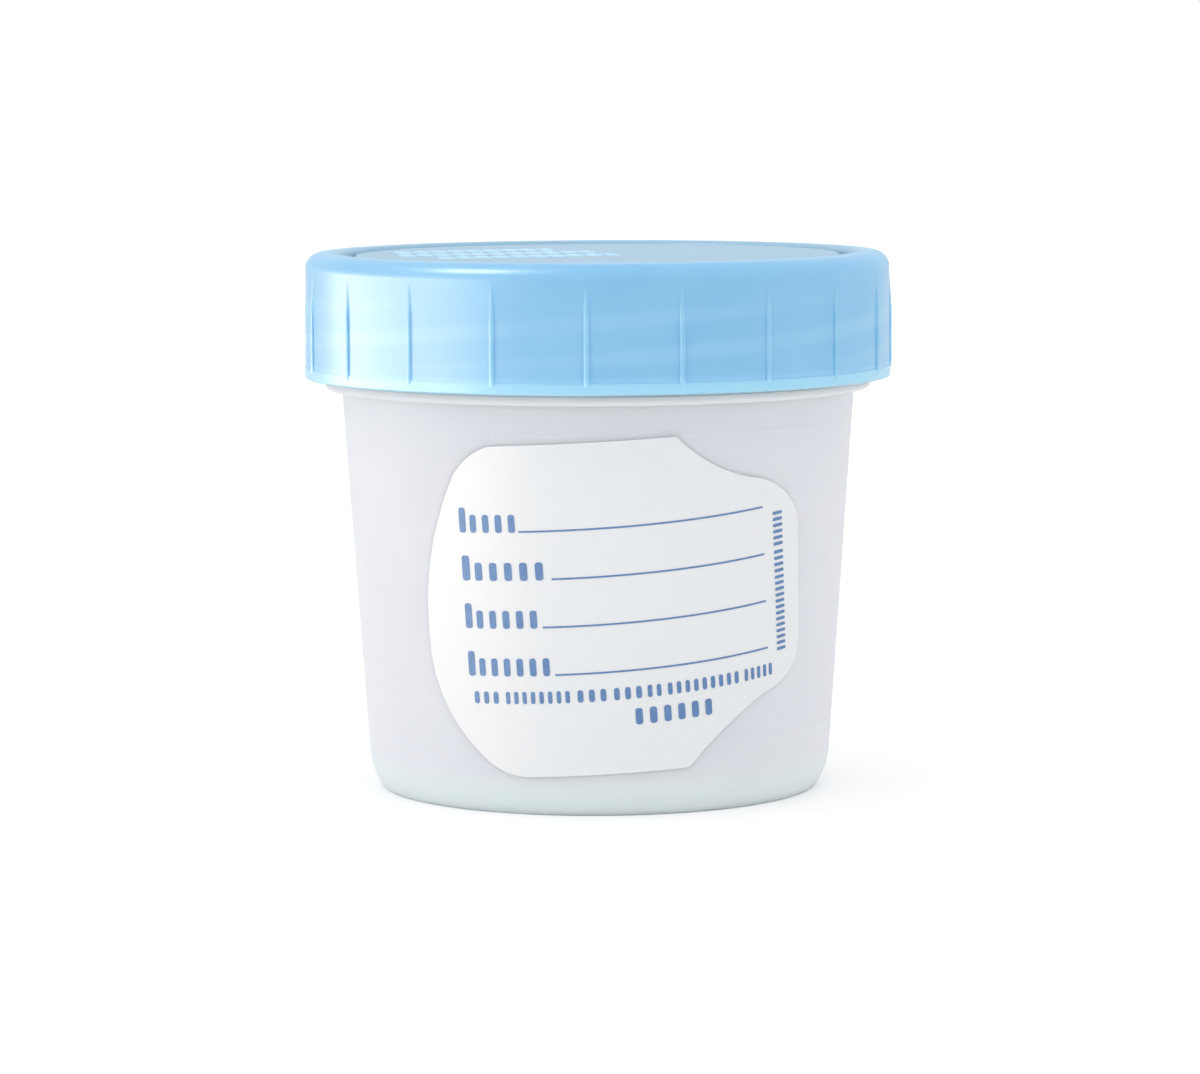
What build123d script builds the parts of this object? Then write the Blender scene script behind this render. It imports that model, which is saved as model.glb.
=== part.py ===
# Screw-lid specimen container: a tapered thin-wall cup, a threaded plug-seal lid and its labels.
# Millimetres, +Z up, origin on the table under the middle of the cup, labels facing -Y.

import os
from math import cos, radians, tan

from build123d import *

# Cup body
body_wall = 1.0
body_top_r = 30.63            # outside radius right under the flange
body_height = 47.8            # table to the underside of the flange
body_draft = 3.92             # taper of the wall, degrees a side
base_corner_height = 4.3      # the outside corner starts here
base_corner_inset = 1.6       # and comes in this far at the table
foot_width = 1.4              # flat ring that the cup stands on
foot_recess = 0.9             # height of the floor's underside above the table
floor_thickness = 1.2
floor_corner_radius = 3.0     # inside corner of floor and wall

# Flange, neck and lip
flange_width = 1.95           # how far the flange stands out of the body
flange_thickness = 1.2
flange_edge_radius = 0.5      # lower edge, where the thumb pushes
flange_top_radius = 0.2
neck_step = 1.55              # how far the neck stands out of the body
neck_wall = 0.9
neck_height = 13.8            # flange to lip
lip_radius = 0.3

# Thread: right-handed, interrupted, ribs on the neck and lugs in the lid
thread_starts = 4
thread_rows = 2
thread_lead = 17.0            # rise in one full turn
thread_first_rib = 3.6        # middle of the first rib above the flange
thread_play = 0.1             # along the axis, when the lid is screwed home
thread_direction = -52.0      # where the first rib's middle stands, degrees from +X
thread_bedding = 0.3          # how deep ribs and lugs are let into their walls
rib_arc = 46.0                # degrees of one cup rib
rib_depth = 0.75
rib_root = 1.7                # heights of the ribs' section
rib_crest = 0.9
lug_gap_arc = 2.5             # degrees left free at each end of a lid lug
lug_clearance = 0.3           # lug crest to the neck
lug_root = 1.7
lug_crest = 0.9
thread_run_out = 5.0          # degrees over which each end slopes off

# Lid
lid_wall = 1.1
lid_top_thickness = 1.2
lid_corner_radius = 1.8
skirt_clearance = 0.8         # rib crest to the inside of the skirt
skirt_gap = 0.15              # bottom edge of the skirt above the flange
band_height = 1.35
band_proud = 0.15
moulded_edge_radius = 0.25
plug_clearance = 0.1          # plug seal ring in the neck
plug_wall = 0.8
plug_reach = 3.2              # how far the plug seal goes down into the neck
plug_edge_radius = 0.3        # lead-in on its outside
groove_width = 1.4            # open top of the hollow plug ring
groove_floor = 0.9
groove_lip_radius = 0.8
panel_drop = 0.3              # centre panel below the rim
panel_edge_radius = 0.4

# Grip ribs on the lid
grip_count = 20
grip_width = 0.7
grip_proud = 0.3
grip_height = 11.0
grip_fade = 4.4               # long slope at the top of each grip rib
grip_bedding = 0.4
grip_edge_radius = 0.3
grip_direction = -92.05       # first rib, degrees from +X

# Clear film and white face label on the cup wall, degrees from +X
film_thickness = 0.08
film_bottom = 8.4
film_top = 44.4
film_start = -114.0
film_end = 22.0
label_thickness = 0.12
label_height = 24.0           # middle of the label above the table
label_tilt = 3.6              # stuck on askew, right side up
label_margin = 8.0            # spare skin under the film's lower edge, cut away by the outline

# Die-cut outline of the label, across and up from its middle: foot, tab on the right, head, round left side
label_foot_left = (-9.8, -18.8)
label_foot_right = (9.2, -19.0)
label_lower_cut = (13.6, -14.9)
label_tab_foot = (18.4, -11.6)
label_tab_low = (23.0, -6.0)
label_tab_high = (23.7, 7.5)
label_tab_head = (18.4, 13.9)
label_upper_cut = (13.9, 16.1)
label_head_right = (10.2, 19.5)
label_head_left = (-11.4, 19.7)
label_shoulder_middle = (-14.2, 18.2)
label_shoulder = (-16.2, 15.4)
label_side_middle = (-19.1, 6.3)
label_side = (-19.75, -3.0)
label_hip_middle = (-18.3, -10.4)
label_hip = (-14.8, -15.9)
label_heel_middle = (-12.5, -17.9)


# Radii and heights that follow from the sizes above
draft_slope = tan(radians(body_draft))
flange_r = body_top_r + flange_width
neck_r = body_top_r + neck_step
bore_r = neck_r - neck_wall
rib_crest_r = neck_r + rib_depth
lug_crest_r = neck_r + lug_clearance
skirt_inner_r = rib_crest_r + skirt_clearance
skirt_r = skirt_inner_r + lid_wall
band_r = skirt_r + band_proud
plug_r = bore_r - plug_clearance
groove_outer_r = plug_r - plug_wall
groove_inner_r = groove_outer_r - groove_width
plug_inner_r = groove_inner_r - plug_wall

floor_top = foot_recess + floor_thickness
flange_top = body_height + flange_thickness
lip_top = flange_top + neck_height
lid_bottom = flange_top + skirt_gap
band_top = lid_bottom + band_height
lid_top = lip_top + lid_top_thickness
panel_top = lid_top - panel_drop
plug_bottom = lip_top - plug_reach
groove_bottom = plug_bottom + groove_floor
grip_top = band_top + grip_height
label_skin = film_thickness + label_thickness

# The lid stands screwed down but turned back half a sector, its lugs in the gaps between the ribs.
# Turned home by that half sector, each lug lies right under a rib of the row above it.
sector = 360 / thread_starts
row_pitch = thread_lead / thread_starts
first_rib_height = flange_top + thread_first_rib
lug_arc = sector - rib_arc - 2 * lug_gap_arc
lug_drop = (rib_root + lug_root) / 2 + thread_play


def body_radius(height, stand_off=0.0):
    """Radius at a height, of the tapered wall's outside or a skin that stands off it."""
    return body_top_r - draft_slope * (body_height - height) + stand_off / cos(radians(body_draft))


def corners(*places):
    """The corners of the sketch in hand that lie nearest to the given places."""
    return [vertices().sort_by_distance((x, y, 0))[0] for x, y in places]


# Thread: short helical ribs whose ends slope off, cup ribs outwards and lid lugs inwards
def run_out_plane(root_r, crest_r, root_angle, crest_angle):
    """Upright plane through the root circle at one angle and the crest circle at another."""
    root = Vector(root_r, 0, 0).rotate(Axis.Z, root_angle)
    crest = Vector(crest_r, 0, 0).rotate(Axis.Z, crest_angle)
    slope = (crest - root).normalized()
    return Plane(root, x_dir=slope, z_dir=slope.cross(Vector(0, 0, 1)))


def thread_segment(root_r, crest_r, root_height, crest_height, arc):
    """One helical segment, its middle at height 0 on the +X side."""
    depth = crest_r - root_r
    bedding = -thread_bedding if depth > 0 else thread_bedding
    rise = thread_lead * arc / 360
    with BuildPart() as segment:
        with BuildLine() as path:
            Helix(thread_lead, rise, root_r)
        with BuildSketch(Plane(path.line @ 0, x_dir=(1, 0, 0), z_dir=path.line % 0)):
            with BuildLine():
                Polyline(
                    (bedding, -root_height / 2),
                    (0, -root_height / 2),
                    (depth, -crest_height / 2),
                    (depth, crest_height / 2),
                    (0, root_height / 2),
                    (bedding, root_height / 2),
                    close=True,
                )
            make_face()
        sweep(is_frenet=True)
        split(bisect_by=run_out_plane(root_r, crest_r, 0, thread_run_out), keep=Keep.BOTTOM)
        split(bisect_by=run_out_plane(root_r, crest_r, arc, arc - thread_run_out), keep=Keep.TOP)
    return segment.part.moved(Location((0, 0, -rise / 2), (0, 0, -arc / 2)))


thread_rib = thread_segment(neck_r, rib_crest_r, rib_root, rib_crest, rib_arc)
thread_lug = thread_segment(skirt_inner_r, lug_crest_r, lug_root, lug_crest, lug_arc)


# Cup: the turned moulding
foot_r = body_radius(base_corner_height) - base_corner_inset
foot_inner_r = foot_r - foot_width
ledge_r = body_radius(body_height, -body_wall)
inner_foot_r = body_radius(floor_top, -body_wall)
wall_start = (body_radius(base_corner_height), base_corner_height)

with BuildPart() as cup:
    with BuildSketch(Plane.XZ):
        with BuildLine():
            TangentArc(wall_start, (foot_r, 0), tangent=(-draft_slope, -1))
            Polyline(
                (foot_r, 0),
                (foot_inner_r, 0),
                (foot_inner_r - foot_recess, foot_recess),
                (0, foot_recess),
                (0, floor_top),
                (inner_foot_r, floor_top),
                (ledge_r, body_height),
                (bore_r, flange_top),
                (bore_r, lip_top),
                (neck_r, lip_top),
                (neck_r, flange_top),
                (flange_r, flange_top),
                (flange_r, body_height),
                (body_top_r, body_height),
                wall_start,
            )
        make_face()
        fillet(corners((inner_foot_r, floor_top)), floor_corner_radius)
        fillet(corners((flange_r, body_height)), flange_edge_radius)
        fillet(corners((flange_r, flange_top)), flange_top_radius)
        fillet(corners((bore_r, lip_top), (neck_r, lip_top)), lip_radius)
        fillet(corners((foot_r, 0)), moulded_edge_radius)
    revolve(axis=Axis.Z)
    for row in range(thread_rows):
        with Locations((0, 0, first_rib_height + row * row_pitch)):
            with PolarLocations(0, thread_starts, thread_direction):
                add(thread_rib)


# Grip rib: one upright rib of the lid on the +X side, its top sloping off
with BuildPart() as grip_rib:
    with BuildSketch(Plane.XZ):
        with BuildLine():
            Polyline(
                (skirt_r - grip_bedding, band_top - grip_bedding),
                (skirt_r + grip_proud, band_top - grip_bedding),
                (skirt_r + grip_proud, grip_top - grip_fade),
                (skirt_r, grip_top),
                (skirt_r - grip_bedding, grip_top),
                close=True,
            )
        make_face()
    extrude(amount=grip_width / 2, both=True)
    fillet(edges().filter_by(Axis.Z).group_by(Axis.X)[-1], grip_edge_radius)


# Lid: skirt, rim, hollow plug ring open at the top, and the flat centre panel
with BuildPart() as lid:
    with BuildSketch(Plane.XZ):
        with BuildLine():
            Polyline(
                (0, panel_top),
                (groove_inner_r, panel_top),
                (groove_inner_r, groove_bottom),
                (groove_outer_r, groove_bottom),
                (groove_outer_r, lid_top),
                (skirt_r, lid_top),
                (skirt_r, band_top),
                (band_r, band_top),
                (band_r, lid_bottom),
                (skirt_inner_r, lid_bottom),
                (skirt_inner_r, lip_top),
                (plug_r, lip_top),
                (plug_r, plug_bottom),
                (plug_inner_r, plug_bottom),
                (plug_inner_r, panel_top - lid_top_thickness),
                (0, panel_top - lid_top_thickness),
                close=True,
            )
        make_face()
        fillet(corners((skirt_r, lid_top)), lid_corner_radius)
        fillet(corners((groove_outer_r, lid_top)), groove_lip_radius)
        fillet(corners((groove_inner_r, panel_top)), panel_edge_radius)
        fillet(corners((plug_r, plug_bottom)), plug_edge_radius)
        fillet(corners((band_r, lid_bottom)), moulded_edge_radius)
    revolve(axis=Axis.Z)
    with PolarLocations(0, grip_count, grip_direction):
        add(grip_rib.part)
    for row in range(thread_rows):
        with Locations((0, 0, first_rib_height + (row + 1) * row_pitch - lug_drop)):
            with PolarLocations(0, thread_starts, thread_direction + sector / 2):
                add(thread_lug)


# Film: clear band on the cup wall that runs on round the side, under the face label
with BuildPart() as label_film:
    with BuildSketch(Plane.XZ.rotated((0, 0, film_start))):
        with BuildLine():
            Polyline(
                (body_radius(film_bottom), film_bottom),
                (body_radius(film_bottom, film_thickness), film_bottom),
                (body_radius(film_top, film_thickness), film_top),
                (body_radius(film_top), film_top),
                close=True,
            )
        make_face()
    revolve(axis=Axis.Z, revolution_arc=film_end - film_start)


# Label: a skin just outside the film, cut to the die-cut outline drawn square to the front
with BuildPart() as label:
    with BuildSketch(Plane.XZ.rotated((0, 0, -180))):
        with BuildLine():
            Polyline(
                (body_radius(film_bottom - label_margin, film_thickness), film_bottom - label_margin),
                (body_radius(film_bottom - label_margin, label_skin), film_bottom - label_margin),
                (body_radius(body_height, label_skin), body_height),
                (body_radius(body_height, film_thickness), body_height),
                close=True,
            )
        make_face()
    revolve(axis=Axis.Z, revolution_arc=180)
    with BuildSketch(Plane((0, 0, label_height), x_dir=(1, 0, 0), z_dir=(0, -1, 0)).rotated((0, -label_tilt, 0))):
        with BuildLine():
            Line(label_foot_left, label_foot_right)
            ThreePointArc(label_foot_right, label_lower_cut, label_tab_foot)
            tab_side = Line(label_tab_low, label_tab_high)
            TangentArc(label_tab_low, label_tab_foot, tangent=-(tab_side % 0))
            TangentArc(label_tab_high, label_tab_head, tangent=tab_side % 1)
            ThreePointArc(label_tab_head, label_upper_cut, label_head_right)
            Line(label_head_right, label_head_left)
            ThreePointArc(label_head_left, label_shoulder_middle, label_shoulder)
            ThreePointArc(label_shoulder, label_side_middle, label_side)
            ThreePointArc(label_side, label_hip_middle, label_hip)
            ThreePointArc(label_hip, label_heel_middle, label_foot_left)
        make_face()
    extrude(amount=flange_r, mode=Mode.INTERSECT)


os.makedirs("parts", exist_ok=True)

cup.part.label = "cup"
export_step(cup.part, "parts/cup.step")

lid.part.label = "lid"
export_step(lid.part, "parts/lid.step")

label_film.part.label = "label_film"
export_step(label_film.part, "parts/label_film.step")

label.part.label = "label"
export_step(label.part, "parts/label.step")
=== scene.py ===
# Dresses the specimen container: moulded plastics, clear film, label print, raised dashes, studio.
# Metres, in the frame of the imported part: +Z up, the label towards -Y.

from math import atan2, cos, hypot, pi, radians, sin, tan

import bmesh
import bpy
from mathutils import Matrix, Vector


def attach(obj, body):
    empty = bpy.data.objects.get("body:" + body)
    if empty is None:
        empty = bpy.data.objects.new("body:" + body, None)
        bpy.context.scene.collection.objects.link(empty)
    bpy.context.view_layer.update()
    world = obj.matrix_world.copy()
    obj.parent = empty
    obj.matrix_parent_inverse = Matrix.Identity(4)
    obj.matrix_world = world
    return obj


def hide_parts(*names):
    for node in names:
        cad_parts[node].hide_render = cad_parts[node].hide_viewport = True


MM = 0.001

# Camera, as fitted to the photograph
PHOTO_WIDTH = 1200
FOCAL_PIXELS = 4683
CENTRE_OFFSET_PIXELS = -1.45
SENSOR_WIDTH = 36.0
CAMERA_DISTANCE = 560 * MM
CAMERA_HEIGHT = 87.6 * MM
AIM_HEIGHT = 29.65 * MM
CAMERA_ROLL = radians(-0.27)

# The cone that the label is rolled on, as in the part
WALL_DRAFT = radians(3.92)
WALL_TOP_RADIUS = 30.63 * MM
WALL_TOP_HEIGHT = 47.8 * MM
LABEL_FACE = 0.2 * MM             # film and label together, out from the wall
LABEL_HEIGHT = 24.0 * MM
LABEL_TILT = radians(3.6)

# The clear film, degrees from +X
FILM_START = -114.0
FILM_END = 22.0
FILM_STEP = 1.0
FILM_BOTTOM = 8.4 * MM
FILM_TOP = 44.4 * MM
FILM_THICKNESS = 0.08 * MM
FILM_OFF = 0.03 * MM

# The thread, which shows faintly through the lid
THREAD_LEAD = 17 * MM
THREAD_PITCH = THREAD_LEAD / 4
THREAD_BOTTOM = 52 * MM
THREAD_TOP = 59 * MM
THREAD_FADE = MM                  # the bands fade in and out over this length at either end
THREAD_BAND_CORE = 0.4 * MM       # out from a band's middle, full strength as far as this
THREAD_BAND_EDGE = 1.3 * MM       # and none from here on

# Where the plastics' colours change: heights, then radii, from the start of a change to its end. Foot:
# partly painted light; collar and lid band: painted light; panel: painted reflection.
FOOT_TONE_AND_LIGHT = (5.5 * MM, 2.4 * MM)
COLLAR_PAINTED_LIGHT = (46.5 * MM, 48.2 * MM)
BAND_PAINTED_LIGHT = (51.5 * MM, 50 * MM)
PANEL_PAINTED_REFLECTION = (32 * MM, 31 * MM)

# Print on the label, in millimetres on the flat label, measured from its middle
INK_THICKNESS = 0.03
INK_LIFT = 0.02                   # clear of the label's facets
INK_CORNER = 0.3
INK_GAP = 0.5                     # the share of a row's pitch that is left between two blocks
RULE_LEFTS = (-8.7, -5.15, -6.6, -5.5)
RULE_RIGHT = 21.05
RULE_TOP = 9.6
RULE_PITCH = 5.57
RULE_WIDTH = 0.2
RULE_STEPS = 32
CAPTION_LEFT = -16.2
CAPTION_HEIGHT = 2.9
CAPTION_LOW_HEIGHT = 0.72 * CAPTION_HEIGHT
CAPTION_FIRST_SHARE = 0.6         # how much of its space a caption's first block fills
CAPTION_BLOCKS = ((5, 7.1), (6, 10.1), (6, 9.0), (7, 10.1))    # blocks in each caption, and its width
SMALL_ROW_BASE = -10.35
SMALL_ROW_HEIGHT = 1.45
SMALL_ROW_WORDS = (               # left end, blocks, width
    (-15.65, 3, 3.1), (-11.6, 8, 7.6), (-3.1, 3, 3.3), (1.1, 3, 3.2),
    (5.0, 2, 1.6), (7.4, 9, 9.1), (17.4, 5, 4.2))
MARK_LEFT = 3.4
MARK_BASE = -13.4
MARK_HEIGHT = 1.9
MARK_BLOCKS = 6
MARK_WIDTH = 9.3
SIDE_COLUMN_LEFT = 24.1
SIDE_COLUMN_BASE = -7.7
SIDE_COLUMN_HEIGHT = 1.5
SIDE_COLUMN_WORDS = ((0.0, 13, 8.9), (9.3, 4, 2.6), (12.5, 6, 4.0))    # start, blocks, length

# Raised dashes, in millimetres on the lid's panel
PANEL_HEIGHT = 63.7
DASH_ROWS = ((9, -9.0, 8.4), (11, -11.5, 0.0), (10, -9.5, -8.4))    # dashes, left end, place
DASH_PITCH = 2.3
DASH_SIZE = (1.5, 3.6)
DASH_CORNER = 0.5
DASH_TOP_SHARE = 0.8              # a dash's top against its foot
DASH_PROUD = 0.15
DASH_SUNK = 0.05
DASH_PATCH_MIDDLE = (-12.0, -2.5)
DASH_PATCH_TURN = radians(22)

# Studio
ROOM_LEVEL = 1.12
FLOOR_HALF_SIZE = 3.0
FLOOR_LIFT = 0.1
LAMP_AIM = (0, 0, 35 * MM)

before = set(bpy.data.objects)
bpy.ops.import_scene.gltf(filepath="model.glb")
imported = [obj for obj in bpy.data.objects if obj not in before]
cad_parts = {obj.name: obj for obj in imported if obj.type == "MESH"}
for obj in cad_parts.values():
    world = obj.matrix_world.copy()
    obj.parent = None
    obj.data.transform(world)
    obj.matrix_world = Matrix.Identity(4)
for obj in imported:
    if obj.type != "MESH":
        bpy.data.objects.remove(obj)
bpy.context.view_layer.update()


# Node helpers

def add_node(tree, kind, inputs=None, **settings):
    """A new node with its settings, its inputs given as values or as sockets to link from."""
    node = tree.nodes.new(kind)
    for name, value in settings.items():
        setattr(node, name, value)
    for name, value in (inputs or {}).items():
        if isinstance(value, bpy.types.NodeSocket):
            tree.links.new(value, node.inputs[name])
        else:
            node.inputs[name].default_value = value
    return node


def maths(tree, operation, *terms):
    """The result of one Math node on its terms, which are numbers or sockets."""
    return add_node(tree, "ShaderNodeMath", dict(enumerate(terms)), operation=operation).outputs[0]


def share_of(tree, value, span, kind="LINEAR"):
    """A share that goes from 0 to 1 as the value goes from the span's first end to its last."""
    inputs = {"Value": value, "From Min": span[0], "From Max": span[1]}
    return add_node(tree, "ShaderNodeMapRange", inputs, interpolation_type=kind).outputs[0]


def colour_mix(tree, share, colour, tint):
    """The colour, mixed towards a tint by a share."""
    inputs = {"Factor": share, 6: colour, 7: (*tint, 1)}
    return add_node(tree, "ShaderNodeMix", inputs, data_type="RGBA").outputs[2]


def new_material(name, **shader_inputs):
    """A material with one Principled shader, and that shader's node."""
    material = bpy.data.materials.new(name)
    material.use_nodes = True
    shader = material.node_tree.nodes["Principled BSDF"]
    for socket, value in shader_inputs.items():
        shader.inputs[socket.replace("_", " ")].default_value = value
    return material, shader


def object_place(tree):
    """Object coordinates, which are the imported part's own metres on every piece here."""
    return add_node(tree, "ShaderNodeTexCoord").outputs["Object"]


def soft_noise(tree, size, detail=2.0):
    """Noise whose blobs are about size across."""
    inputs = {"Vector": object_place(tree), "Scale": 1 / size, "Detail": detail}
    return add_node(tree, "ShaderNodeTexNoise", inputs).outputs["Fac"]


def two_tones(tree, factor, low, high, start=0.35, end=0.65):
    """A colour that runs from low to high as factor goes from start to end."""
    ramp = add_node(tree, "ShaderNodeValToRGB", {"Fac": factor})
    ramp.color_ramp.elements[0].position = start
    ramp.color_ramp.elements[0].color = (*low, 1)
    ramp.color_ramp.elements[1].position = end
    ramp.color_ramp.elements[1].color = (*high, 1)
    return ramp.outputs["Color"]


def moulded_skin(tree, shader, blob, depth):
    """The faint unevenness of a moulded wall, and the fine grain of its tool."""
    waves = soft_noise(tree, blob)
    grain = soft_noise(tree, blob / 12, 4.0)
    height = maths(tree, "MULTIPLY_ADD", grain, 0.12, waves)
    bump = add_node(tree, "ShaderNodeBump", {"Height": height, "Strength": 1.0, "Distance": depth})
    tree.links.new(bump.outputs["Normal"], shader.inputs["Normal"])


# Materials

def height_tint(tree, colour, tint, span):
    """The colour, mixed towards a tint as the height goes through the span."""
    place = add_node(tree, "ShaderNodeSeparateXYZ", {"Vector": object_place(tree)}).outputs
    return colour_mix(tree, share_of(tree, place["Z"], span, "SMOOTHSTEP"), colour, tint)


def thread_shade(tree):
    """How strongly a helical band shows through at each place: 1 in its middle, 0 between two bands."""
    place = add_node(tree, "ShaderNodeSeparateXYZ", {"Vector": object_place(tree)}).outputs
    turn = maths(tree, "ARCTAN2", place["Y"], place["X"])
    climb = maths(tree, "MULTIPLY_ADD", turn, -THREAD_LEAD / (2 * pi), place["Z"])
    rows = maths(tree, "FLOORED_MODULO", climb, THREAD_PITCH)
    off = maths(tree, "ABSOLUTE", maths(tree, "SUBTRACT", rows, THREAD_PITCH / 2))
    band = share_of(tree, off, (THREAD_BAND_EDGE, THREAD_BAND_CORE), "SMOOTHSTEP")
    below = share_of(tree, place["Z"], (THREAD_TOP + THREAD_FADE, THREAD_TOP - THREAD_FADE))
    above = share_of(tree, place["Z"], (THREAD_BOTTOM - THREAD_FADE, THREAD_BOTTOM + THREAD_FADE))
    return maths(tree, "MULTIPLY", band, maths(tree, "MULTIPLY", below, above))


def panel_share(tree):
    """How far a place belongs to the lid's panel and groove, the mask of its painted reflection and
    rougher finish: 1 inside the rim, 0 from the corner out.
    """
    flat = add_node(
        tree, "ShaderNodeVectorMath", {0: object_place(tree), 1: (1, 1, 0)}, operation="MULTIPLY")
    radius = add_node(tree, "ShaderNodeVectorMath", {0: flat.outputs[0]}, operation="LENGTH")
    return share_of(tree, radius.outputs["Value"], PANEL_PAINTED_REFLECTION)


def natural_plastic():
    """Cup: milky natural polypropylene. Bluer at the foot, partly the thick plastic's own tone and partly
    painted light from the table below; lighter and bluer at the flange's collar, painted light against the
    lid's shade and for its blue bounce.
    """
    material, shader = new_material(
        "natural plastic", Roughness=0.48, IOR=1.45, Specular_IOR_Level=0.06, Transmission_Weight=0.12,
        Subsurface_Weight=0.8, Subsurface_Scale=2.5 * MM, Subsurface_Radius=(1, 1, 1))
    tree = material.node_tree
    milky = two_tones(tree, soft_noise(tree, 9 * MM), (0.81, 0.85, 0.99), (0.825, 0.865, 1.0))
    # partly painted light: the foot is bluer as thick plastic is, and lighter as if lit through the base
    # from the table
    foot = height_tint(tree, milky, (0.80, 0.91, 1.0), FOOT_TONE_AND_LIGHT)
    # painted light: the collar is lightened against the lid's shade on it, and blued for the lid's bounce
    # light
    lit_collar = height_tint(tree, foot, (0.87, 0.955, 1.0), COLLAR_PAINTED_LIGHT)
    tree.links.new(lit_collar, shader.inputs["Base Color"])
    moulded_skin(tree, shader, 7 * MM, 0.02 * MM)
    return material


def blue_plastic():
    """Lid: light blue polypropylene, paler at its bottom band as painted light, paler over the thread
    where it shows through, and greyer on its panel as a painted reflection.
    """
    material, shader = new_material(
        "blue plastic", IOR=1.5, Transmission_Weight=0.12, Subsurface_Weight=0.6,
        Subsurface_Scale=1.5 * MM, Subsurface_Radius=(1, 1, 1))
    tree = material.node_tree
    dye = two_tones(tree, soft_noise(tree, 12 * MM), (0.25, 0.565, 0.86), (0.28, 0.60, 0.88))
    # painted light: the lid's bottom band is paler, as if lit from below and by the bright flange behind
    painted_pale = height_tint(tree, dye, (0.38, 0.72, 1.0), BAND_PAINTED_LIGHT)
    threaded = colour_mix(tree, thread_shade(tree), painted_pale, (0.295, 0.615, 0.89))
    panel = panel_share(tree)
    # painted reflection: the panel is greyed towards the grey surround that its gloss shows at a grazing
    # angle
    reflection_grey = colour_mix(tree, panel, threaded, (0.305, 0.52, 0.69))
    matt = add_node(tree, "ShaderNodeMapRange", {"Value": panel, "To Min": 0.36, "To Max": 0.5})
    tree.links.new(reflection_grey, shader.inputs["Base Color"])
    tree.links.new(matt.outputs[0], shader.inputs["Roughness"])
    moulded_skin(tree, shader, 8 * MM, 0.02 * MM)
    return material


def glint_painted_blue():
    """The same plastic where it is raised in small dashes, painted paler as painted highlights for the
    glints they catch.
    """
    material, shader = new_material("glint painted blue", Roughness=0.5, IOR=1.5)
    tree = material.node_tree
    # painted highlight: the paler colour stands for the glints of light on the dashes
    painted_pale = two_tones(tree, soft_noise(tree, 3 * MM), (0.42, 0.70, 0.93), (0.48, 0.75, 0.96))
    tree.links.new(painted_pale, shader.inputs["Base Color"])
    return material


def clear_film():
    """Thin clear film, just visible by its gloss and a faint milky cast."""
    material, shader = new_material("clear film", Roughness=0.2, IOR=1.46, Alpha=0.06)
    tree = material.node_tree
    cast = two_tones(tree, soft_noise(tree, 6 * MM), (0.88, 0.90, 0.93), (0.93, 0.94, 0.96))
    tree.links.new(cast, shader.inputs["Base Color"])
    moulded_skin(tree, shader, 5 * MM, 0.01 * MM)
    return material


def label_stock():
    """White label stock with a low satin sheen and a fine fibre."""
    material, shader = new_material(
        "label stock", Roughness=0.42, IOR=1.45, Coat_Weight=0.12, Coat_Roughness=0.3)
    tree = material.node_tree
    white = two_tones(tree, soft_noise(tree, 1.2 * MM, 6.0), (0.74, 0.765, 0.79), (0.75, 0.775, 0.80))
    tree.links.new(white, shader.inputs["Base Color"])
    moulded_skin(tree, shader, 2.5 * MM, 0.006 * MM)
    return material


def print_ink():
    """Blue printing ink, a little thin in places."""
    material, shader = new_material("print ink", Roughness=0.5)
    tree = material.node_tree
    thin = soft_noise(tree, 0.5 * MM, 5.0)
    blue = two_tones(tree, thin, (0.085, 0.185, 0.390), (0.125, 0.250, 0.480), 0.3, 0.75)
    tree.links.new(blue, shader.inputs["Base Color"])
    return material


# Repeated shapes by Geometry Nodes

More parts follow.
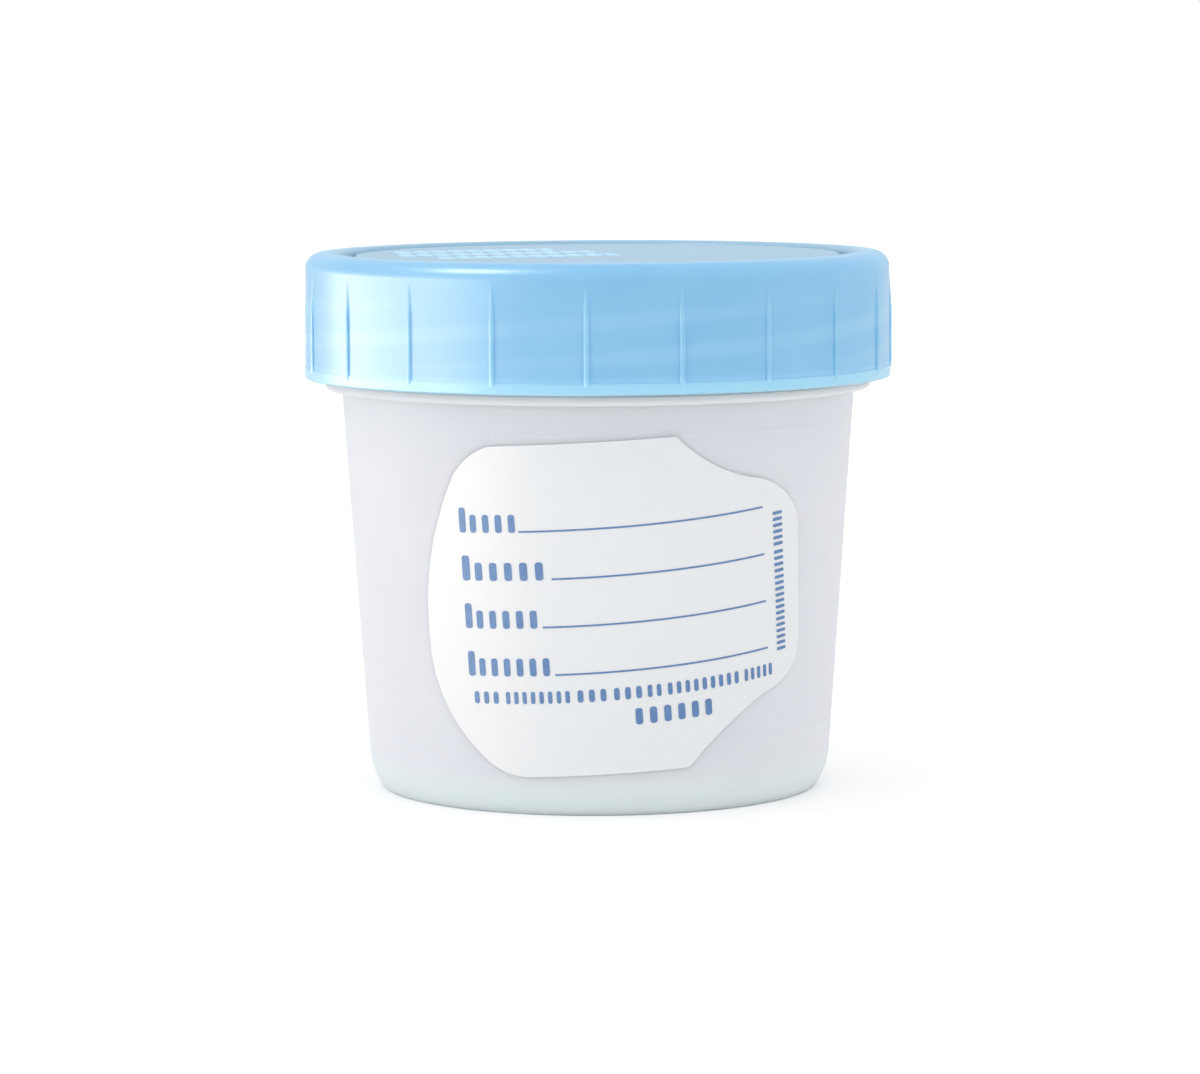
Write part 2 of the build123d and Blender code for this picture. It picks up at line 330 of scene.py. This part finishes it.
def block_row_tree():
    """A row of rounded blocks from the origin along +X: flat blocks, or raised ones with drafted sides."""
    tree = bpy.data.node_groups.new("block row", "GeometryNodeTree")
    tree.interface.new_socket("Geometry", in_out="INPUT", socket_type="NodeSocketGeometry")
    tree.interface.new_socket("Count", in_out="INPUT", socket_type="NodeSocketInt")
    for name in ("Pitch", "Block Width", "Block Height", "Corner Radius", "Rise", "Top Scale"):
        tree.interface.new_socket(name, in_out="INPUT", socket_type="NodeSocketFloat")
    tree.interface.new_socket("Material", in_out="INPUT", socket_type="NodeSocketMaterial")
    tree.interface.new_socket("Geometry", in_out="OUTPUT", socket_type="NodeSocketGeometry")

    given = add_node(tree, "NodeGroupInput").outputs
    step = add_node(tree, "ShaderNodeCombineXYZ", {"X": given["Pitch"]})
    start = maths(tree, "MULTIPLY", given["Block Width"], 0.5)
    middle = maths(tree, "MULTIPLY", given["Block Height"], 0.5)
    first = add_node(tree, "ShaderNodeCombineXYZ", {"X": start, "Y": middle})
    places = add_node(tree, "GeometryNodeMeshLine", {
        "Count": given["Count"], "Start Location": first.outputs[0], "Offset": step.outputs[0]})

    outline = add_node(tree, "GeometryNodeCurvePrimitiveQuadrilateral", {
        "Width": given["Block Width"], "Height": given["Block Height"]})
    bendable = add_node(tree, "GeometryNodeSubdivideCurve", {"Curve": outline.outputs[0], "Cuts": 1})
    rounded = add_node(tree, "GeometryNodeFilletCurve", {
        "Curve": bendable.outputs[0], "Radius": given["Corner Radius"],
        "Limit Radius": True, "Count": 3}, mode="POLY")
    face = add_node(tree, "GeometryNodeFillCurve", {"Curve": rounded.outputs[0]}, mode="TRIANGLES")
    raised = add_node(tree, "GeometryNodeExtrudeMesh", {
        "Mesh": face.outputs[0], "Offset Scale": given["Rise"], "Individual": False})
    drafted = add_node(tree, "GeometryNodeScaleElements", {
        "Geometry": raised.outputs["Mesh"], "Selection": raised.outputs["Top"],
        "Scale": given["Top Scale"]})
    underside = add_node(tree, "GeometryNodeFlipFaces", {"Mesh": face.outputs[0]})
    closed = add_node(tree, "GeometryNodeJoinGeometry")
    tree.links.new(drafted.outputs[0], closed.inputs[0])
    tree.links.new(underside.outputs[0], closed.inputs[0])
    block = add_node(tree, "GeometryNodeMergeByDistance", {
        "Geometry": closed.outputs[0], "Distance": 0.001 * MM})

    row = add_node(tree, "GeometryNodeInstanceOnPoints", {
        "Points": places.outputs["Mesh"], "Instance": block.outputs[0]})
    solid = add_node(tree, "GeometryNodeRealizeInstances", {"Geometry": row.outputs[0]})
    painted = add_node(tree, "GeometryNodeSetMaterial", {
        "Geometry": solid.outputs[0], "Material": given["Material"]})
    add_node(tree, "NodeGroupOutput", {"Geometry": painted.outputs[0]})
    return tree


def grown(tree, values):
    """A plain mesh grown by a node tree with the given named inputs."""
    seed = bpy.data.objects.new("seed", bpy.data.meshes.new("seed"))
    bpy.context.scene.collection.objects.link(seed)
    modifier = seed.modifiers.new("grow", "NODES")
    modifier.node_group = tree
    sockets = {item.name: item.identifier for item in tree.interface.items_tree if item.in_out == "INPUT"}
    for name, value in values.items():
        modifier[sockets[name]] = value
    bpy.context.view_layer.update()
    evaluated = seed.evaluated_get(bpy.context.evaluated_depsgraph_get())
    mesh = bpy.data.meshes.new_from_object(evaluated)
    bpy.data.objects.remove(seed)
    return mesh


def ink_row(tree, ink, count, width, height):
    """A row of printed blocks, width long and height tall in millimetres."""
    pitch = width / (count - INK_GAP)
    return grown(tree, {
        "Count": count,
        "Pitch": pitch * MM,
        "Block Width": pitch * (1 - INK_GAP) * MM,
        "Block Height": height * MM,
        "Corner Radius": min(INK_CORNER, height / 4) * MM,
        "Rise": INK_THICKNESS * MM,
        "Top Scale": 1.0,
        "Material": ink,
    })


def closed_strip(name, rings):
    """A closed mesh through rings of four points each, in order."""
    shell = bmesh.new()
    ends = [[shell.verts.new(point) for point in ring] for ring in rings]
    for ring, after in zip(ends, ends[1:]):
        for side in range(4):
            shell.faces.new((ring[side], ring[side - 1], after[side - 1], after[side]))
    shell.faces.new(ends[0])
    shell.faces.new(reversed(ends[-1]))
    bmesh.ops.recalc_face_normals(shell, faces=shell.faces)
    mesh = bpy.data.meshes.new(name)
    shell.to_mesh(mesh)
    shell.free()
    return mesh


# Film

def wall_point(angle, height, stand_off):
    """A point that stands off the cup's wall, angle in degrees from +X."""
    radius = WALL_TOP_RADIUS - (WALL_TOP_HEIGHT - height) * tan(WALL_DRAFT) + stand_off / cos(WALL_DRAFT)
    return radius * cos(radians(angle)), radius * sin(radians(angle)), height


def film_band():
    """The clear film as a fine closed skin, a hair off the wall so that the two don't flicker."""
    steps = round((FILM_END - FILM_START) / FILM_STEP)
    edges = (
        (FILM_BOTTOM, FILM_OFF), (FILM_BOTTOM, FILM_THICKNESS),
        (FILM_TOP, FILM_THICKNESS), (FILM_TOP, FILM_OFF))
    rings = []
    for step in range(steps + 1):
        angle = FILM_START + (FILM_END - FILM_START) * step / steps
        rings.append([wall_point(angle, height, off) for height, off in edges])
    mesh = closed_strip("film_band", rings)
    mesh.materials.append(clear_film())
    mesh.shade_smooth()
    mesh.set_sharp_from_angle(angle=radians(40))
    band = bpy.data.objects.new("film_band", mesh)
    bpy.context.scene.collection.objects.link(band)
    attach(band, "cup")
    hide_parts("label_film")


# Label print

def roll_on_wall(mesh):
    """Rolls flat label coordinates on to the cone of the cup's wall, keeping lengths as paper does."""
    radius = WALL_TOP_RADIUS - (WALL_TOP_HEIGHT - LABEL_HEIGHT) * tan(WALL_DRAFT) + LABEL_FACE
    to_apex = radius / sin(WALL_DRAFT)
    for vertex in mesh.vertices:
        flat = vertex.co
        across = flat.x * cos(LABEL_TILT) - flat.y * sin(LABEL_TILT)
        up = flat.x * sin(LABEL_TILT) + flat.y * cos(LABEL_TILT)
        slant = hypot(across, to_apex + up)
        turn = atan2(across, to_apex + up) / sin(WALL_DRAFT)
        lift = flat.z + INK_LIFT * MM
        out = slant * sin(WALL_DRAFT) + lift * cos(WALL_DRAFT)
        height = LABEL_HEIGHT + (slant - to_apex) * cos(WALL_DRAFT) - lift * sin(WALL_DRAFT)
        vertex.co = (out * sin(turn), -out * cos(turn), height)


def moved(mesh, x, y, turn=0.0):
    """The mesh turned about the origin and moved on the flat label or panel, in millimetres."""
    mesh.transform(Matrix.Translation((x * MM, y * MM, 0)) @ Matrix.Rotation(turn, 4, "Z"))
    return mesh


def joined(name, meshes, material):
    """One object of one material that holds all the meshes."""
    target = bpy.data.meshes.new(name)
    piece = bpy.data.objects.new(name, target)
    bpy.context.scene.collection.objects.link(piece)
    whole = bmesh.new()
    for mesh in meshes:
        whole.from_mesh(mesh)
    for face in whole.faces:
        face.material_index = 0
    whole.to_mesh(target)
    whole.free()
    target.materials.append(material)
    for mesh in meshes:
        bpy.data.meshes.remove(mesh)
    return piece


def label_piece(name, meshes, ink):
    """One printed piece on the label, riding with the cup."""
    for mesh in meshes:
        roll_on_wall(mesh)
    piece = joined(name, meshes, ink)
    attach(piece, "cup")


def print_rules(ink):
    """The four ruled lines, bent in short steps."""
    thick = INK_THICKNESS * MM
    lines = []
    for row, left in enumerate(RULE_LEFTS):
        base = (RULE_TOP - row * RULE_PITCH) * MM
        top = base + RULE_WIDTH * MM
        rings = []
        for step in range(RULE_STEPS + 1):
            x = (left + (RULE_RIGHT - left) * step / RULE_STEPS) * MM
            rings.append([(x, base, 0), (x, base, thick), (x, top, thick), (x, top, 0)])
        lines.append(closed_strip("rule", rings))
    label_piece("print_rules", lines, ink)


def print_captions(tree, ink):
    """A caption before each rule, as plain blocks with the first one taller."""
    rows = []
    for row, (count, width) in enumerate(CAPTION_BLOCKS):
        base = RULE_TOP - row * RULE_PITCH
        first = width / count
        tall = ink_row(tree, ink, 1, first * CAPTION_FIRST_SHARE, CAPTION_HEIGHT)
        rest = ink_row(tree, ink, count - 1, width - first, CAPTION_LOW_HEIGHT)
        rows.append(moved(tall, CAPTION_LEFT, base))
        rows.append(moved(rest, CAPTION_LEFT + first, base))
    label_piece("print_captions", rows, ink)


def print_small_row(tree, ink):
    """The row of small blocks under the rules, and the short mark below it."""
    words = []
    for left, count, width in SMALL_ROW_WORDS:
        words.append(moved(ink_row(tree, ink, count, width, SMALL_ROW_HEIGHT), left, SMALL_ROW_BASE))
    words.append(moved(ink_row(tree, ink, MARK_BLOCKS, MARK_WIDTH, MARK_HEIGHT), MARK_LEFT, MARK_BASE))
    label_piece("print_small_row", words, ink)


def print_side_column(tree, ink):
    """The column of small blocks that runs up the label's right side."""
    words = []
    for start, count, width in SIDE_COLUMN_WORDS:
        word = ink_row(tree, ink, count, width, SIDE_COLUMN_HEIGHT)
        words.append(moved(word, SIDE_COLUMN_LEFT, SIDE_COLUMN_BASE + start, radians(90)))
    label_piece("print_side_column", words, ink)


def panel_dashes(tree, plastic):
    """Rows of plain raised dashes moulded on the lid's panel, turned as the lid is."""
    rows = []
    for count, left, place in DASH_ROWS:
        row = grown(tree, {
            "Count": count,
            "Pitch": DASH_PITCH * MM,
            "Block Width": DASH_SIZE[0] * MM,
            "Block Height": DASH_SIZE[1] * MM,
            "Corner Radius": DASH_CORNER * MM,
            "Rise": (DASH_PROUD + DASH_SUNK) * MM,
            "Top Scale": DASH_TOP_SHARE,
            "Material": plastic,
        })
        rows.append(moved(row, left, place))
    dashes = joined("panel_dashes", rows, plastic)
    middle = Vector((*DASH_PATCH_MIDDLE, PANEL_HEIGHT - DASH_SUNK)) * MM
    dashes.data.transform(Matrix.Translation(middle) @ Matrix.Rotation(DASH_PATCH_TURN, 4, "Z"))
    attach(dashes, "lid")


# Studio

def camera():
    """The photograph's camera: level with the lid, a little above, rolled a fraction."""
    place = Vector((0, -CAMERA_DISTANCE, CAMERA_HEIGHT))
    forward = (Vector((0, 0, AIM_HEIGHT)) - place).normalized()
    right = Vector((1, 0, 0))
    up = right.cross(forward)
    rolled_right = right * cos(CAMERA_ROLL) + up * sin(CAMERA_ROLL)
    rolled_up = up * cos(CAMERA_ROLL) - right * sin(CAMERA_ROLL)
    data = bpy.data.cameras.new("camera")
    data.sensor_width = SENSOR_WIDTH
    data.lens = SENSOR_WIDTH * FOCAL_PIXELS / PHOTO_WIDTH
    data.shift_x = -CENTRE_OFFSET_PIXELS / PHOTO_WIDTH
    data.clip_start = 0.01
    view = bpy.data.objects.new("camera", data)
    turned = Matrix((rolled_right, rolled_up, -forward)).transposed().to_4x4()
    view.matrix_world = Matrix.Translation(place) @ turned
    bpy.context.scene.collection.objects.link(view)
    bpy.context.scene.camera = view


def softbox(name, place, width, height, power, colour=(1, 1, 1), gloss_only=False):
    """A soft rectangular lamp that faces the middle of the container, and may show in its gloss alone."""
    data = bpy.data.lights.new(name, "AREA")
    data.shape = "RECTANGLE"
    data.size = width
    data.size_y = height
    data.energy = power
    data.color = colour
    lamp = bpy.data.objects.new(name, data)
    lamp.visible_camera = False
    lamp.visible_diffuse = not gloss_only
    towards = Vector(LAMP_AIM) - Vector(place)
    turned = towards.to_track_quat("-Z", "Y").to_matrix().to_4x4()
    lamp.matrix_world = Matrix.Translation(place) @ turned
    bpy.context.scene.collection.objects.link(lamp)


def white_room():
    """World: a plain level for the object, white where the camera, gloss or clear plastic shows it."""
    world = bpy.data.worlds.new("white room")
    world.use_nodes = True
    tree = world.node_tree
    tree.nodes.clear()
    ray = add_node(tree, "ShaderNodeLightPath").outputs
    direct = maths(tree, "MAXIMUM", ray["Is Camera Ray"], ray["Is Glossy Ray"])
    seen = maths(tree, "MAXIMUM", direct, ray["Is Transmission Ray"])
    level = add_node(tree, "ShaderNodeMix", {"Factor": seen, 2: ROOM_LEVEL, 3: 1.0}, data_type="FLOAT")
    background = add_node(tree, "ShaderNodeBackground", {
        "Color": (1, 1, 1, 1), "Strength": level.outputs[0]})
    add_node(tree, "ShaderNodeOutputWorld", {"Surface": background.outputs[0]})
    bpy.context.scene.world = world


def floor():
    """A pale table top that stays white in the camera and keeps the container's shadow."""
    mesh = bpy.data.meshes.new("floor")
    grid = bmesh.new()
    bmesh.ops.create_grid(grid, x_segments=1, y_segments=1, size=FLOOR_HALF_SIZE)
    grid.to_mesh(mesh)
    grid.free()
    top = bpy.data.objects.new("floor", mesh)
    bpy.context.scene.collection.objects.link(top)
    material, shader = new_material("table top", Base_Color=(0.9, 0.885, 0.865, 1), Roughness=0.9)
    tree = material.node_tree
    shader.inputs["Specular IOR Level"].default_value = 0.0
    ray = add_node(tree, "ShaderNodeLightPath").outputs
    lift = maths(tree, "MULTIPLY", ray["Is Camera Ray"], FLOOR_LIFT)
    glow = add_node(tree, "ShaderNodeEmission", {"Color": (1, 1, 1, 1), "Strength": lift})
    both = add_node(tree, "ShaderNodeAddShader", {0: shader.outputs[0], 1: glow.outputs[0]})
    tree.links.new(both.outputs[0], tree.nodes["Material Output"].inputs["Surface"])
    mesh.materials.append(material)


def dress(node, material):
    """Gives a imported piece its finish."""
    node.data.materials.clear()
    node.data.materials.append(material)


def main():
    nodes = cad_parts
    ink = print_ink()
    dress(nodes["cup"], natural_plastic())
    dress(nodes["lid"], blue_plastic())
    dress(nodes["label"], label_stock())
    film_band()

    rows = block_row_tree()
    print_rules(ink)
    print_captions(rows, ink)
    print_small_row(rows, ink)
    print_side_column(rows, ink)
    panel_dashes(rows, glint_painted_blue())

    camera()
    softbox("key", (-0.9, -0.42, 0.45), width=1.0, height=0.9, power=1.2)
    softbox(
        "low gloss", (-0.3, -0.045, 0.031), width=0.5, height=0.06, power=1.3,
        colour=(1, 0.85, 0.68), gloss_only=True)
    softbox("corner gloss", (-0.5, -0.25, 0.7), width=0.3, height=0.3, power=8.0, gloss_only=True)
    white_room()
    floor()
    bpy.context.scene.view_settings.view_transform = "Standard"


main()
